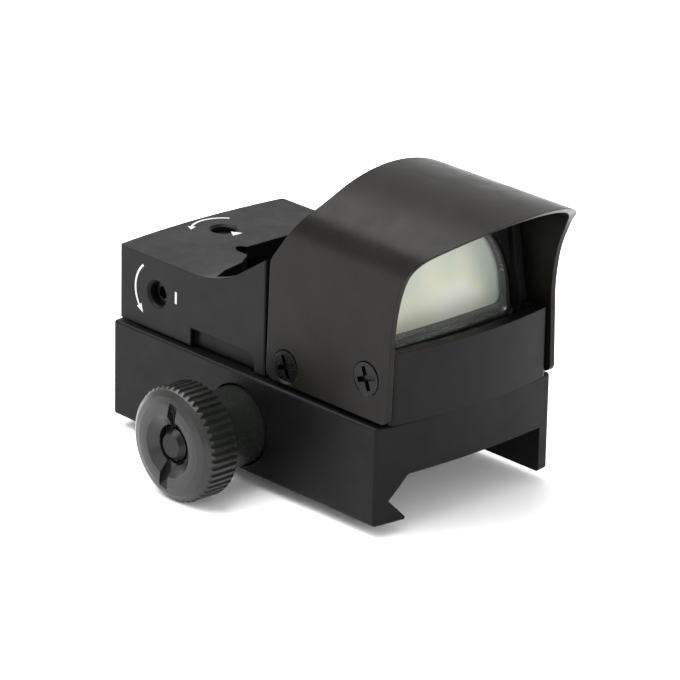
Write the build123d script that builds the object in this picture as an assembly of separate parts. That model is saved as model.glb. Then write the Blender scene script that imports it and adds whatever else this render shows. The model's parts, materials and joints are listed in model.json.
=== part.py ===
from build123d import *
import math
import os

# Mini reflex sight with a hood, on a clamp mount for a grooved accessory rail. Lengths in mm.
# Frame: +Z up, -Y towards the target, -X the side that carries the clamp knob.
# Origin: the middle of the rail seat, the flat ceiling of the mount's groove.

# ---- mount block ----
MOUNT_HALF_WIDTH = 14.0
MOUNT_HALF_LENGTH = 22.95     # to the corners
MOUNT_BOW = 1.0               # how far each end bulges past its corners
MOUNT_TOP = 6.45
LEG_DROP = 5.65               # how far the legs reach below the seat
FAR_LEG = 1.7
RAIL_DEPTH = 2.77             # seat to the widest line of the rail
RAIL_WIDTH = 21.2             # across the rail's two 45 degree edges
FIXED_APEX_X = -12.0          # deepest line of the fixed side's V
LIP = 2.4                     # how far the lower lips reach back in under the rail

# ---- cross bolt, jaw and knob ----
BOLT_Y = 0.5
BOLT_Z = -0.15
BOLT_R = 2.0
RUNNING = 0.05                # radial running clearance
JAW_HALF_LENGTH = 4.95
JAW_OUTER_X = 10.75
JAW_LUG_X = 6.5
JAW_LUG_TOP = 3.0
BOLT_HEAD_R = 2.6
KNOB_FACE_X = -24.8
KNOB_BACK_X = -19.8
KNOB_R = 6.95
KNOB_FACE_R = 6.3
KNOB_RIM = 1.25               # how far the face stands in front of the ribs
KNOB_RIBS = 48
DISH_R = 3.75
SLOT_WIDTH = 1.4
SLOT_DEPTH = 1.5
SLOT_REACH = 5.8              # from the axis to where the slot runs out
SLOT_LEAN = 9.0               # degrees
HUB_R = 4.75
HUB_WELL_X = -12.5            # floor of the well that the knob's hub turns in
WASHER_THICK = 0.4

# ---- sight body ----
BODY_HALF_WIDTH = 13.1        # behind the hood
BODY_BOTTOM = 6.7
SEAM_INSET = 1.0              # width of the shadow gap above the mount
BODY_REAR_Y = 22.95
BODY_REAR_BOW = 0.85
STEP_Y = -3.0                 # where the body steps in to go under the hood
PANEL_Y = -23.75              # front panel's corners
PANEL_BOW = 1.23
PANEL_TOP = 15.35
PANEL_WALL = 1.4
LEDGE_Z = 13.65
DECK_TOP = 15.85
DECK_EDGE_Y = 12.5
ARM_START_Y = 9.75            # where the deck starts to sweep up into the arms
ARM_SWEEP_R = 16.0
ARM_SLOPE = 33.0              # degrees
ARM_WALL = 0.8
POCKET_FLOOR = 11.8

# ---- hood ----
HOOD_HALF_WIDTH = 13.45       # at its bottom edge
HOOD_BOTTOM = 7.0
HOOD_TAPER = 0.03             # inward lean of the sides, per mm of height
HOOD_CREST = 32.18
HOOD_ARCH_R = 17.8
HOOD_SHOULDER_R = 4.9
HOOD_SHEET = 0.7
HOOD_GAP = 0.35               # between the sheet and the body
HOOD_REAR_Y = -3.7
HOOD_FRONT_Y = -24.1
# the front edge sweeps forward from the side plates into the visor, as (y, z)
VISOR_SWEEP = [
    (-24.1, 15.0), (-24.2, 18.6), (-24.45, 20.5), (-24.85, 22.4), (-25.95, 25.2),
    (-27.1, 26.8), (-29.0, 28.4), (-34.1, 32.18), (-36.6, 34.0),
]

# ---- lens ----
LENS_TILT = 8.0               # degrees, top towards the eye
RIM_Y = -20.4                 # front rim of the lens frame at the height of the panel's top
RIM_WIDTH = 1.2
RIM_STEP = 1.0
LENS_R = 10.8
LENS_ARCH_Z = 1.5             # centre of the lens's round top, above the panel's top
LENS_FOOT = -1.55             # lens's bottom edge, from the same height
LENS_THICK = 2.4
SEAL_WALL = 0.3
LENS_SHOULDER = 0.5           # width of the shoulder behind the lens

# ---- side screws ----
SCREW_PLACES = [(-20.4, 11.75), (-7.0, 9.15)]   # y, z on both sides
SCREW_HEAD_R = 1.95
SCREW_R = 1.0
SCREW_LENGTH = 2.9

# ---- battery bay ----
BAY_Y = -6.3
BAY_R = 10.3
BAY_TOP = 11.0
BATTERY_R = 10.0
BATTERY_LOW = 6.55
BATTERY_THICK = 3.2
BOARD_LOW = 9.95
BOARD_THICK = 0.8
GASKET_R = 11.8
GASKET_WIDTH = 0.9
GASKET_HIGH = 1.05
TAB_HALF = 2.8
TAB_END_Y = 13.2

# ---- adjuster bay, under the deck ----
ADJ_HALF_WIDTH = 10.8
ADJ_FRONT_Y = 13.4
ADJ_REAR_Y = 21.2
ADJ_CEILING = 14.3
ADJ_LOW_CEILING = 14.05       # under the elevation screw
ADJ_SPLIT_Y = 17.0
THREAD_R = 1.2
HEAD_R = 1.8
HEAD_THICK = 0.95
KEY_HOLE_R = 1.5
KEY_R = 0.85                  # hex socket, centre to corner
ELEV_Y = 19.1
WIND_Y = 16.1
WIND_Z = 11.4
PLATE = 0.6                   # retainer plates
TRAVEL = 0.4                  # each way, elevation and windage
EMITTER_X = -2.9
EMITTER_Z = 12.9
EMITTER_R = 0.7
CARRIAGE_HALF = 2.6
CARRIAGE_FRONT_Y = 13.7
CARRIAGE_BACK_Y = 14.5
SLIDER_X = (-7.5, 3.5)
SLIDER_Y = (13.6, 17.4)
SLIDER_Z = (9.4, 13.3)
NUT_Z = (7.3, 10.2)
NUT_Y = (17.75, 20.9)
FOOT_TOP = 8.8
TEE_Z = (7.75, 8.25)

# ---- fasteners between mount and body ----
BASE_SCREWS = [(-7.5, 9.4), (7.5, 9.4), (0.0, -19.9)]
BASE_SCREW_R = 1.5
BASE_HEAD_R = 2.75
BASE_HEAD_Z = (0.3, 3.3)
BASE_SCREW_TOP = 11.0
PINS = [(-9.5, -18.5), (9.5, -18.5)]
PIN_R = 1.0
PIN_Z = (4.4, 8.6)

FAR = 60.0                    # longer than any part, for cutting tools


def save(shape, name):
    """Writes one sub-part."""
    export_step(shape, f"parts/{name}.step")


def block(x, y, z):
    """A box from its low and high coordinates."""
    size = [high - low for low, high in (x, y, z)]
    middle = [(low + high) / 2 for low, high in (x, y, z)]
    return Pos(*middle) * Box(*size)


def rod_x(radius, x0, x1, y, z):
    """A cylinder along X."""
    return Pos((x0 + x1) / 2, y, z) * Rot(0, 90, 0) * Cylinder(radius, abs(x1 - x0))


def rod_y(radius, y0, y1, x, z):
    """A cylinder along Y."""
    return Pos(x, (y0 + y1) / 2, z) * Rot(90, 0, 0) * Cylinder(radius, abs(y1 - y0))


def rod_z(radius, z0, z1, x, y):
    """A cylinder along Z."""
    return Pos(x, y, (z0 + z1) / 2) * Cylinder(radius, abs(z1 - z0))


def along_y(sketch, y0, y1):
    """Extrudes a sketch drawn as (x, z) from y0 to y1."""
    return extrude(Plane.XZ.offset(-max(y0, y1)) * sketch, abs(y1 - y0), dir=(0, -1, 0))


def along_x(sketch, half):
    """Extrudes a sketch drawn as (y, z) to both sides of the middle plane."""
    return extrude(Plane.YZ.offset(-half) * sketch, 2 * half, dir=(1, 0, 0))


def along_z(sketch, z0, z1):
    """Extrudes a plan drawn as (x, y) from z0 to z1."""
    return extrude(Pos(0, 0, z0) * sketch, z1 - z0, dir=(0, 0, 1))


def bowed(half, front_y, front_bow, rear_y, rear_bow, front_r, rear_r):
    """A rectangle whose front and rear sides bulge, with rounded corners."""
    edges = [
        ThreePointArc((half, front_y), (0, front_y - front_bow), (-half, front_y)),
        Line((-half, front_y), (-half, rear_y)),
        ThreePointArc((-half, rear_y), (0, rear_y + rear_bow), (half, rear_y)),
        Line((half, rear_y), (half, front_y)),
    ]
    face = make_face(edges)
    corners = face.vertices().sort_by(Axis.Y)
    face = fillet(corners[:2], front_r)
    rear = face.vertices().sort_by(Axis.Y)[-2:]
    return fillet(rear, rear_r)


def hood_section(inset, low=-FAR):
    """The hood's outline across the sight, as (x, z), moved in by inset."""
    foot = HOOD_HALF_WIDTH - inset
    radius = HOOD_ARCH_R - inset
    centre = HOOD_CREST - HOOD_ARCH_R
    # the side x = foot - taper * (z - bottom) meets the arch x^2 + (z - centre)^2 = radius^2
    at_centre = foot - HOOD_TAPER * (centre - HOOD_BOTTOM)
    a = 1 + HOOD_TAPER**2
    b = -2 * at_centre * HOOD_TAPER
    c = at_centre**2 - radius**2
    rise = (-b + math.sqrt(b * b - 4 * a * c)) / (2 * a)
    shoulder = (at_centre - HOOD_TAPER * rise, centre + rise)
    low_x = foot - HOOD_TAPER * (low - HOOD_BOTTOM)
    edges = [
        Line((-low_x, low), (low_x, low)),
        Line((low_x, low), shoulder),
        ThreePointArc(shoulder, (0, HOOD_CREST - inset), (-shoulder[0], shoulder[1])),
        Line((-shoulder[0], shoulder[1]), (-low_x, low)),
    ]
    face = make_face(edges)
    tops = face.vertices().sort_by(Axis.Y)[-2:]
    return fillet(tops, HOOD_SHOULDER_R - inset)


def hood_rear_edge(back):
    """Corners of the hood's rear edge as (y, z), moved forward by back."""
    return [(HOOD_REAR_Y - back, 21.3), (-9.6 - back, 29.2), (-10.4 - back, 34.0)]


def hood_side():
    """The hood's outline from the side, as (y, z)."""
    knee, lean, rear_top = hood_rear_edge(0)
    edges = [
        Line((HOOD_REAR_Y, HOOD_BOTTOM), knee),
        Line(knee, lean),
        Line(lean, rear_top),
        Line(rear_top, VISOR_SWEEP[-1]),
        Spline(*reversed(VISOR_SWEEP)),
        Line(VISOR_SWEEP[0], (HOOD_FRONT_Y, HOOD_BOTTOM)),
        Line((HOOD_FRONT_Y, HOOD_BOTTOM), (HOOD_REAR_Y, HOOD_BOTTOM)),
    ]
    face = make_face(edges)
    for place, radius in ((knee, 2.0), (lean, 5.0), ((HOOD_REAR_Y, HOOD_BOTTOM), 1.2),
                          ((HOOD_FRONT_Y, HOOD_BOTTOM), 1.0)):
        corner = face.vertices().sort_by_distance((place[0], place[1], 0))[0]
        face = fillet(corner, radius)
    return face


def side_screw(y, z, side, slack=0.0):
    """One countersunk hood screw, its head level with the hood's outside. side is -1 or 1."""
    face_x = HOOD_HALF_WIDTH - HOOD_TAPER * (z - HOOD_BOTTOM) + 0.05
    head = SCREW_HEAD_R + slack
    shank = SCREW_R + slack
    outline = Polyline(
        (0, 0), (head, 0), (head, -0.2), (shank, -0.2 - (head - shank)),
        (shank, -SCREW_LENGTH - slack), (0, -SCREW_LENGTH - slack), close=True,
    )
    solid = revolve(Plane.XZ * make_face(outline), Axis.Z)
    return Pos(side * face_x, y, z) * Rot(0, side * 90, 0) * solid


def cross_recess(y, z, side):
    """The cross-shaped driver recess of a hood screw."""
    face_x = HOOD_HALF_WIDTH - HOOD_TAPER * (z - HOOD_BOTTOM) + 0.05
    arm = Box(3.2, 0.55, 2.0) + Box(0.55, 3.2, 2.0)
    taper = Cone(2.0, 0.5, 2.0, rotation=(180, 0, 0))
    return Pos(side * face_x, y, z) * Rot(0, side * 90, 0) * Rot(0, 0, 20) * (arm & taper)


def screw_tools(slack):
    """All four hood screws, for cutting their holes."""
    return [side_screw(y, z, side, slack) for y, z in SCREW_PLACES for side in (-1, 1)]


def hood():
    """The sheet hood: arched roof, two side plates and a visor."""
    shell = along_y(hood_section(0), -FAR, 0) & along_x(hood_side(), MOUNT_HALF_WIDTH)
    shell -= along_y(hood_section(HOOD_SHEET), -FAR, 1)
    for tool in screw_tools(0.12):
        shell -= tool
    return shell


def lens_plane(depth=0.0):
    """The tilted plane of the lens frame's front rim, moved back by depth."""
    tilt = math.radians(LENS_TILT)
    forward = Vector(0, -math.cos(tilt), math.sin(tilt))
    origin = Vector(0, RIM_Y, PANEL_TOP) - forward * depth
    return Plane(origin=origin, x_dir=(1, 0, 0), z_dir=forward)


def lens_outline(grow):
    """The lens's outline in its own plane: flat foot, straight sides, round top."""
    half = LENS_R + grow
    foot = LENS_FOOT - grow
    edges = [
        Line((-half, foot), (half, foot)),
        Line((half, foot), (half, LENS_ARCH_Z)),
        ThreePointArc((half, LENS_ARCH_Z), (0, LENS_ARCH_Z + half), (-half, LENS_ARCH_Z)),
        Line((-half, LENS_ARCH_Z), (-half, foot)),
    ]
    face = make_face(edges)
    return fillet(face.vertices().sort_by(Axis.Y)[:2], 1.0 + grow)


def in_frame(sketch, front, back):
    """Extrudes a sketch in the lens's plane between two depths behind the rim."""
    plane = lens_plane(back)
    return extrude(plane * sketch, back - front, dir=plane.z_dir)


def lens():
    """The reflex lens: a meniscus, hollow towards the emitter."""
    front, back = RIM_STEP + 0.2, RIM_STEP + 0.2 + LENS_THICK
    solid = in_frame(lens_outline(0), front, back)
    outer_r, inner_r = 90.0, 86.0
    solid &= lens_plane(front + outer_r) * Pos(0, 4, 0) * Sphere(outer_r)
    solid -= lens_plane(back + inner_r - 0.9) * Pos(0, 4, 0) * Sphere(inner_r)
    return solid


def lens_seal():
    """The bead that bonds the lens's edge into its frame."""
    front, back = RIM_STEP + 0.2, RIM_STEP + 0.2 + LENS_THICK
    ring = lens_outline(SEAL_WALL) - lens_outline(0)
    return in_frame(ring, front + 0.5, back)


def body_side():
    """The sight body's outline from the side, as (y, z)."""
    slope = math.radians(ARM_SLOPE)
    bend = (ARM_START_Y - ARM_SWEEP_R * math.sin(slope), DECK_TOP + ARM_SWEEP_R * (1 - math.cos(slope)))
    middle = (
        ARM_START_Y - ARM_SWEEP_R * math.sin(slope / 2),
        DECK_TOP + ARM_SWEEP_R * (1 - math.cos(slope / 2)),
    )
    knee, lean, rear_top = hood_rear_edge(0.6)
    arm_end = (knee[0], bend[1] + (bend[0] - knee[0]) * math.tan(slope))
    tilt = math.tan(math.radians(LENS_TILT))
    rim_top = (RIM_Y + (rear_top[1] - PANEL_TOP) * tilt, rear_top[1])
    rim_foot = (RIM_Y + (LEDGE_Z - PANEL_TOP) * tilt, LEDGE_Z)
    front_y = PANEL_Y - PANEL_BOW - 1
    rear_y = BODY_REAR_Y + BODY_REAR_BOW + 1
    edges = [
        Line((rear_y, BODY_BOTTOM), (rear_y, DECK_TOP)),
        Line((rear_y, DECK_TOP), (ARM_START_Y, DECK_TOP)),
        ThreePointArc((ARM_START_Y, DECK_TOP), middle, bend),
        Line(bend, arm_end),
        Line(arm_end, lean),
        Line(lean, rear_top),
        Line(rear_top, rim_top),
        Line(rim_top, rim_foot),
        Line(rim_foot, (front_y, LEDGE_Z)),
        Line((front_y, LEDGE_Z), (front_y, BODY_BOTTOM)),
        Line((front_y, BODY_BOTTOM), (rear_y, BODY_BOTTOM)),
    ]
    face = make_face(edges)
    corner = face.vertices().sort_by_distance((lean[0], lean[1], 0))[0]
    return fillet(corner, 5.0)


def panel_lip(plan):
    """The curved lip in front of the lens, which meets the frame's posts at both sides."""
    half = HOOD_HALF_WIDTH - HOOD_SHEET - HOOD_GAP - RIM_WIDTH
    inside = bowed(half, PANEL_Y + PANEL_WALL, PANEL_BOW, STEP_Y, 0.001, 0.8, 0.2)
    ring = along_z(plan - inside, LEDGE_Z - 1, PANEL_TOP)
    return ring & block((-FAR, FAR), (-FAR, RIM_Y + 0.6), (0, FAR))


def body_blank():
    """The body's outside: rear block, arms and the arch that frames the lens."""
    under_hood = HOOD_HALF_WIDTH - HOOD_SHEET - HOOD_GAP
    rear_plan = bowed(BODY_HALF_WIDTH, STEP_Y, 0.001, BODY_REAR_Y, BODY_REAR_BOW, 0.2, 0.5)
    front_plan = bowed(under_hood, PANEL_Y, PANEL_BOW, STEP_Y + 1, 0.001, 0.8, 0.2)
    rear = along_z(rear_plan, BODY_BOTTOM, FAR)
    front = along_z(front_plan, BODY_BOTTOM, FAR)
    under_sheet = along_y(hood_section(HOOD_SHEET + HOOD_GAP), -FAR, STEP_Y + 2)
    blank = (rear + (front & under_sheet)) & along_x(body_side(), MOUNT_HALF_WIDTH)
    blank += panel_lip(front_plan) & under_sheet
    land = bowed(
        under_hood - SEAM_INSET, PANEL_Y + SEAM_INSET, PANEL_BOW,
        BODY_REAR_Y - SEAM_INSET, BODY_REAR_BOW, 0.8, 0.8,
    )
    return blank + along_z(land, MOUNT_TOP, BODY_BOTTOM + 0.3)


def deck_pocket():
    """The open space between the arms, with the deck's stepped front edge."""
    inner = BODY_HALF_WIDTH - ARM_WALL
    outline = Polyline(
        (-inner, 6.4), (-9.7, 7.9), (-6.2, 8.8), (-3.9, 10.4), (-3.9, DECK_EDGE_Y),
        (inner, DECK_EDGE_Y), (inner, -4.0), (LENS_R, -8.0), (-LENS_R, -8.0), (-inner, -4.0),
        close=True,
    )
    pocket = along_z(make_face(outline), POCKET_FLOOR, FAR)
    roof = along_y(hood_section(HOOD_SHEET + HOOD_GAP + 1.35), -FAR, FAR)
    behind_arch = block((-FAR, FAR), (HOOD_REAR_Y - 0.7, FAR), (0, FAR))
    return pocket & (roof + behind_arch)


def eye_tunnel():
    """The space behind the lens, inside the arch."""
    section = hood_section(HOOD_SHEET + HOOD_GAP + 1.35, POCKET_FLOOR)
    section &= Pos(0, FAR / 2 + POCKET_FLOOR) * Rectangle(2 * (LENS_R + 0.3), FAR)
    tunnel = along_y(section, -15.2, -7.0)
    return tunnel


def body_cuts():
    """Everything hollow in the sight body, as cutting solids."""
    lens_back = RIM_STEP + 0.2 + LENS_THICK
    cuts = [deck_pocket(), eye_tunnel()]
    # lens seat, and the smaller window through the shoulder behind it
    cuts.append(in_frame(lens_outline(SEAL_WALL), -2.5, lens_back))
    cuts.append(in_frame(lens_outline(-LENS_SHOULDER), 0, 8.0))
    # the frame's face is recessed inside a raised outer rim
    face = along_y(hood_section(HOOD_SHEET + HOOD_GAP + RIM_WIDTH, LEDGE_Z), -FAR, 0)
    cuts.append(face & in_frame(Rectangle(FAR, 2 * FAR), -0.5, RIM_STEP))
    # battery bay with the board's tail channel, and the gasket's groove
    cuts.append(rod_z(BAY_R, MOUNT_TOP - 1, BAY_TOP, 0, BAY_Y))
    cuts.append(block((-TAB_HALF - 0.2, TAB_HALF + 0.2), (BAY_Y, ADJ_FRONT_Y + 0.5), (BOARD_LOW - 0.2, BAY_TOP)))
    cuts.append(gasket_ring(0.0, 1.0))
    # adjuster bay under the deck
    side = (-ADJ_HALF_WIDTH, ADJ_HALF_WIDTH)
    cuts.append(block(side, (ADJ_FRONT_Y, ADJ_SPLIT_Y), (MOUNT_TOP - 1, ADJ_CEILING)))
    cuts.append(block(side, (ADJ_SPLIT_Y, ADJ_REAR_Y), (MOUNT_TOP - 1, ADJ_LOW_CEILING)))
    # key holes and head wells of the two adjuster screws
    cuts.append(rod_z(KEY_HOLE_R, ADJ_CEILING, DECK_TOP + 1, 0, ELEV_Y))
    cuts.append(rod_z(HEAD_R + 0.1, ADJ_LOW_CEILING - 0.5, DECK_TOP - 0.75, 0, ELEV_Y))
    cuts.append(Pos(0, ELEV_Y, DECK_TOP - 0.15) * Cone(KEY_HOLE_R, KEY_HOLE_R + 0.3, 0.3))
    wall_x = -BODY_HALF_WIDTH
    cuts.append(rod_x(KEY_HOLE_R, wall_x - 1, -ADJ_HALF_WIDTH, WIND_Y, WIND_Z))
    cuts.append(rod_x(HEAD_R + 0.1, wall_x + 1.0, -ADJ_HALF_WIDTH + 0.5, WIND_Y, WIND_Z))
    cuts.append(
        Pos(wall_x + 0.15, WIND_Y, WIND_Z) * Rot(0, -90, 0) * Cone(KEY_HOLE_R, KEY_HOLE_R + 0.3, 0.3)
    )
    # emitter window in the deck's front wall, and the sloping relief above it
    reach = EMITTER_R + TRAVEL + 0.4
    window_x = (EMITTER_X - reach, EMITTER_X + reach)
    window_z = (EMITTER_Z - EMITTER_R - TRAVEL - 0.2, ADJ_CEILING)
    cuts.append(block(window_x, (DECK_EDGE_Y - 0.3, ADJ_FRONT_Y + 0.5), window_z))
    relief = Pos(EMITTER_X, DECK_EDGE_Y, DECK_TOP - 0.6) * Rot(55, 0, 0) * Cylinder(0.95, 8.0)
    cuts.append(relief & block((-FAR, FAR), (DECK_EDGE_Y - 5, FAR), (ADJ_CEILING + 0.35, FAR)))
    # sensor port in the deck's lobe
    cuts.append(rod_y(1.15, 4.0, 9.6, -8.0, 13.9))
    cuts.append(block((-9.2, -6.8), (9.55, 10.8), (13.1, 14.7)))
    # snap-in recesses for a slip-on cover, low on both sides
    for side_sign in (-1, 1):
        outer = side_sign * (BODY_HALF_WIDTH + 1)
        inner = side_sign * (BODY_HALF_WIDTH - 0.8)
        recess = block((min(outer, inner), max(outer, inner)), (-1.3, 10.0), (BODY_BOTTOM - 1, 8.95))
        front_top = recess.edges().filter_by(Axis.X).group_by(Axis.Z)[-1].sort_by(Axis.Y)[0]
        cuts.append(fillet(front_top, 0.9))
    # hood screws, base screws and locating pins
    cuts += screw_tools(0.02)
    cuts += [rod_z(BASE_SCREW_R, MOUNT_TOP - 1, BASE_SCREW_TOP + 0.2, x, y) for x, y in BASE_SCREWS]
    cuts += [rod_z(PIN_R, MOUNT_TOP - 1, PIN_Z[1] + 0.1, x, y) for x, y in PINS]
    return cuts


def sight_body():
    """The one-piece housing that carries lens, electronics and adjusters."""
    body = body_blank()
    for cut in body_cuts():
        body -= cut
    return body


def gasket_ring(slack, drop=0.0):
    """The square-section ring between body and mount, round the battery bay."""
    ring = Circle(GASKET_R - slack) - Circle(GASKET_R - GASKET_WIDTH + slack)
    return along_z(Pos(0, BAY_Y) * ring, MOUNT_TOP - drop, MOUNT_TOP + GASKET_HIGH - slack)


def rail_channel():
    """The groove's outline across the rail, as (x, z), open at the bottom."""
    below = -LEG_DROP - 1
    lip_x = FIXED_APEX_X + LIP
    lip_z = -RAIL_DEPTH - LIP
    seat_x = FIXED_APEX_X + RAIL_DEPTH
    leg_x = MOUNT_HALF_WIDTH - FAR_LEG
    outline = Polyline(
        (lip_x, below), (lip_x, lip_z), (FIXED_APEX_X, -RAIL_DEPTH), (seat_x, 0),
        (leg_x, 0), (leg_x, below), close=True,
    )
    face = make_face(outline)
    for place, radius in (((lip_x, lip_z, 0), 0.25), ((seat_x, 0, 0), 0.8)):
        face = fillet(face.vertices().sort_by_distance(place)[0], radius)
    return face


def mount_base():
    """The clamp mount: fixed V on the knob side, plain leg on the other."""
    plan = bowed(MOUNT_HALF_WIDTH, -MOUNT_HALF_LENGTH, MOUNT_BOW, MOUNT_HALF_LENGTH, MOUNT_BOW, 0.4, 0.4)
    mount = along_z(plan, -LEG_DROP, MOUNT_TOP)
    levels = mount.edges().group_by(Axis.Z)
    mount = fillet(levels[0] + levels[-1], 0.35)
    mount -= along_y(rail_channel(), -FAR, FAR)
    leg_x = MOUNT_HALF_WIDTH - FAR_LEG
    mount -= rod_x(BOLT_R + RUNNING, -MOUNT_HALF_WIDTH - 1, leg_x, BOLT_Y, BOLT_Z)
    mount -= rod_x(HUB_R + 0.25, -MOUNT_HALF_WIDTH - 1, HUB_WELL_X, BOLT_Y, BOLT_Z)
    mount -= rod_x(2.85, 2.3, JAW_LUG_X, BOLT_Y, BOLT_Z)
    jaw_y = (BOLT_Y - JAW_HALF_LENGTH - 0.2, BOLT_Y + JAW_HALF_LENGTH + 0.2)
    mount -= block((JAW_LUG_X - 0.3, leg_x), jaw_y, (-1, JAW_LUG_TOP + 0.3))
    for x, y in BASE_SCREWS:
        mount -= rod_z(BASE_HEAD_R + 0.2, -1, BASE_HEAD_Z[1], x, y)
        mount -= rod_z(BASE_SCREW_R + 0.1, 0, MOUNT_TOP + 1, x, y)
    for x, y in PINS:
        mount -= rod_z(PIN_R, PIN_Z[0], MOUNT_TOP + 1, x, y)
    return mount


def clamp_jaw():
    """The short sliding jaw with its own V and a lug for the cross bolt."""
    apex_x = FIXED_APEX_X + RAIL_WIDTH + 0.1
    lip_x = apex_x - LIP
    bottom = -LEG_DROP + 0.35
    outline = Polyline(
        (JAW_OUTER_X, JAW_LUG_TOP), (JAW_OUTER_X, bottom), (lip_x + 0.2, bottom),
        (lip_x, -RAIL_DEPTH - LIP + 0.1), (apex_x, -RAIL_DEPTH), (apex_x - RAIL_DEPTH + 0.1, -0.1),
        (JAW_LUG_X, -0.1), (JAW_LUG_X, JAW_LUG_TOP), close=True,
    )
    y0, y1 = BOLT_Y - JAW_HALF_LENGTH, BOLT_Y + JAW_HALF_LENGTH
    jaw = along_y(make_face(outline), y0, y1)
    ends = jaw.edges().filter_by(Axis.Z).filter_by(lambda e: e.center().X > JAW_OUTER_X - 0.1)
    jaw = fillet(ends, 0.5)
    jaw -= rod_x(BOLT_R, JAW_LUG_X - 1, JAW_OUTER_X, BOLT_Y, BOLT_Z)
    jaw -= rod_x(BOLT_HEAD_R, JAW_OUTER_X - 1.3, JAW_OUTER_X + 1, BOLT_Y, BOLT_Z)
    return jaw


def turned(points):
    """Revolves (x, r) points about the cross bolt's axis."""
    face = make_face(Polyline(*points, close=True))
    return Pos(0, BOLT_Y, BOLT_Z) * revolve(Plane.XZ * face, Axis.X)


def cross_bolt():
    """The bolt that ties the jaw to the knob."""
    head, end = JAW_OUTER_X - 0.1, KNOB_FACE_X + 0.5
    under = JAW_OUTER_X - 1.3
    bolt = turned([
        (head, 0), (head, BOLT_HEAD_R), (under, BOLT_HEAD_R), (under, BOLT_R),
        (end + 0.6, BOLT_R), (end, BOLT_R - 0.6), (end, 0),
    ])
    socket = Pos(head, BOLT_Y, BOLT_Z) * Rot(0, 90, 0) * extrude(RegularPolygon(1.3, 6), 0.7, both=True)
    return bolt - socket


def coil(radius, wire, low, high, turns):
    """A coil spring along Z from low to high, with its wire ends squared off."""
    rise = high - low - 2 * wire
    pitch = rise / turns
    path = Pos(0, 0, low + wire) * Helix(pitch, rise, radius)
    section = Plane(origin=path @ 0, z_dir=path % 0) * Circle(wire)
    return sweep(section, path=path)


def clamp_spring():
    """Pushes the jaw open when the knob is slackened."""
    spring = coil(2.45, 0.22, 2.4, JAW_LUG_X - 0.05, 4.5)
    return Pos(0, BOLT_Y, BOLT_Z) * Rot(0, 90, 0) * spring


def knob_washer():
    """Thrust washer on the floor of the hub's well."""
    return turned([
        (HUB_WELL_X, BOLT_R + 0.15), (HUB_WELL_X, HUB_R), (HUB_WELL_X - WASHER_THICK, HUB_R),
        (HUB_WELL_X - WASHER_THICK, BOLT_R + 0.15),
    ])


def clamp_knob():
    """Ribbed knob with a coin slot, a dished middle and a long hub."""
    hub_end = HUB_WELL_X - WASHER_THICK - RUNNING
    bore = BOLT_R + RUNNING
    face = KNOB_FACE_X
    rim = face + KNOB_RIM
    knob = turned([
        (hub_end, bore), (hub_end, HUB_R), (KNOB_BACK_X, HUB_R), (KNOB_BACK_X, KNOB_R - 0.4),
        (KNOB_BACK_X - 0.4, KNOB_R), (rim, KNOB_R), (rim - 0.5, KNOB_FACE_R + 0.35),
        (rim - 0.95, KNOB_FACE_R - 0.3), (face + 0.06, KNOB_FACE_R - 1.2), (face, DISH_R + 0.6), (face, DISH_R),
        (face + 0.9, 2.45), (face + 2.2, 2.45), (face + 2.2, bore),
    ])
    places = PolarLocations(KNOB_R + 0.02, KNOB_RIBS).locations
    grooves = Sketch() + [place * Circle(0.28) for place in places]
    ribbed = extrude(grooves, KNOB_BACK_X - rim + 0.45, dir=(0, 0, 1))
    knob -= Pos(rim - 0.45, BOLT_Y, BOLT_Z) * Rot(0, 90, 0) * ribbed
    # the slot's floor rises to the face at both ends, as a round cutter leaves it
    cutter_r = (SLOT_REACH**2 + SLOT_DEPTH**2) / (2 * SLOT_DEPTH)
    cutter = Rot(SLOT_LEAN, 0, 0) * Rot(90, 0, 0) * Cylinder(cutter_r, SLOT_WIDTH)
    return knob - Pos(face + SLOT_DEPTH - cutter_r, BOLT_Y, BOLT_Z) * cutter


def adjuster_screw(thread_length):
    """A captive adjuster screw along -Z, its head's top at z = 0."""
    shaft = Pos(0, 0, -HEAD_THICK - thread_length / 2) * Cylinder(THREAD_R, thread_length)
    body = Pos(0, 0, -HEAD_THICK / 2) * Cylinder(HEAD_R, HEAD_THICK) + shaft
    socket = extrude(RegularPolygon(KEY_R, 6), -0.8)
    return body - socket


def elevation_screw():
    """Moves the elevation nut; turned through the hole in the deck."""
    top = DECK_TOP - 0.78
    return Pos(0, ELEV_Y, top) * adjuster_screw(top - HEAD_THICK - NUT_Z[0] + 0.2)


def windage_screw():
    """Moves the windage slider; turned through the hole in the side."""
    face = -BODY_HALF_WIDTH + 1.02
    return Pos(face, WIND_Y, WIND_Z) * Rot(0, -90, 0) * adjuster_screw(SLIDER_X[1] + 1.0 - face - HEAD_THICK)


def elevation_retainer():
    """Plate that keeps the elevation screw's head in its well."""
    top = ADJ_LOW_CEILING
    plate = block((-4.4, 4.4), (17.6, 20.9), (top - PLATE, top))
    return plate - rod_z(THREAD_R + 0.1, top - 1, top + 1, 0, ELEV_Y)


def windage_retainer():
    """Plate that keeps the windage screw's head in its well."""
    near = -ADJ_HALF_WIDTH
    plate = block((near, near + PLATE), (13.6, 18.6), (9.6, 13.2))
    return plate - rod_x(THREAD_R + 0.1, near - 1, near + 1, WIND_Y, WIND_Z)


def windage_slider():
    """Runs across the sight on the windage screw and guides the emitter's carriage."""
    slider = block(SLIDER_X, SLIDER_Y, SLIDER_Z)
    slot = (EMITTER_X - CARRIAGE_HALF - RUNNING, EMITTER_X + CARRIAGE_HALF + RUNNING)
    slider -= block(slot, (SLIDER_Y[0] - 1, CARRIAGE_BACK_Y + RUNNING), (0, FAR))
    slider -= rod_x(THREAD_R + RUNNING, SLIDER_X[0] - 1, SLIDER_X[1] + 1, WIND_Y, WIND_Z)
    return slider


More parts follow.
